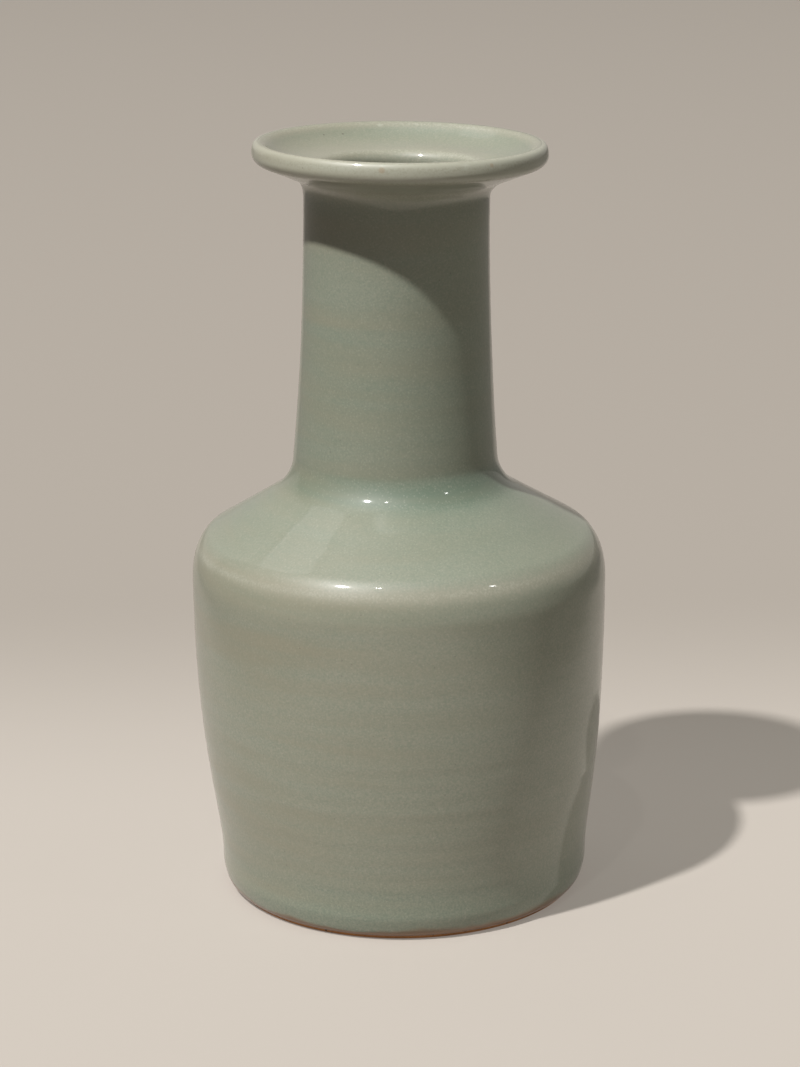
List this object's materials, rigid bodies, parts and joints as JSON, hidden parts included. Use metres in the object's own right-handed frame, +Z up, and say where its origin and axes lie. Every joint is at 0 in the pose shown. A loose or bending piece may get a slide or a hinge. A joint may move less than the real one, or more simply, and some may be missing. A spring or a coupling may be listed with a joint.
{
  "type": "mallet vase",
  "caption": "Glazed stoneware mallet vase: drum body swelling to a sloped shoulder, tall waisted neck and flared dish mouth with a rolled lip, on a bare foot ring.",
  "frame": {"origin": "centre of the foot ring's resting face", "axes": "+Z up along the axis of the wheel, from the foot to the mouth; -Y towards the viewer"},
  "size_m": [0.11, 0.11, 0.2009],
  "materials": {
    "stoneware": "bare stoneware, burnt reddish brown at the foot",
    "luting_slip": "fired clay slip",
    "celadon_glaze": "soft gloss grey-green celadon, thin and pale on the edges"
  },
  "bodies": {
    "root": {"body": "stoneware", "shoulder": "stoneware", "neck": "stoneware", "dish_mouth": "stoneware", "body_seam": "luting_slip", "neck_seam": "luting_slip", "mouth_seam": "luting_slip", "outer_glaze": "celadon_glaze", "inner_glaze": "celadon_glaze", "base_glaze": "celadon_glaze"}
  },
  "joints": []
}
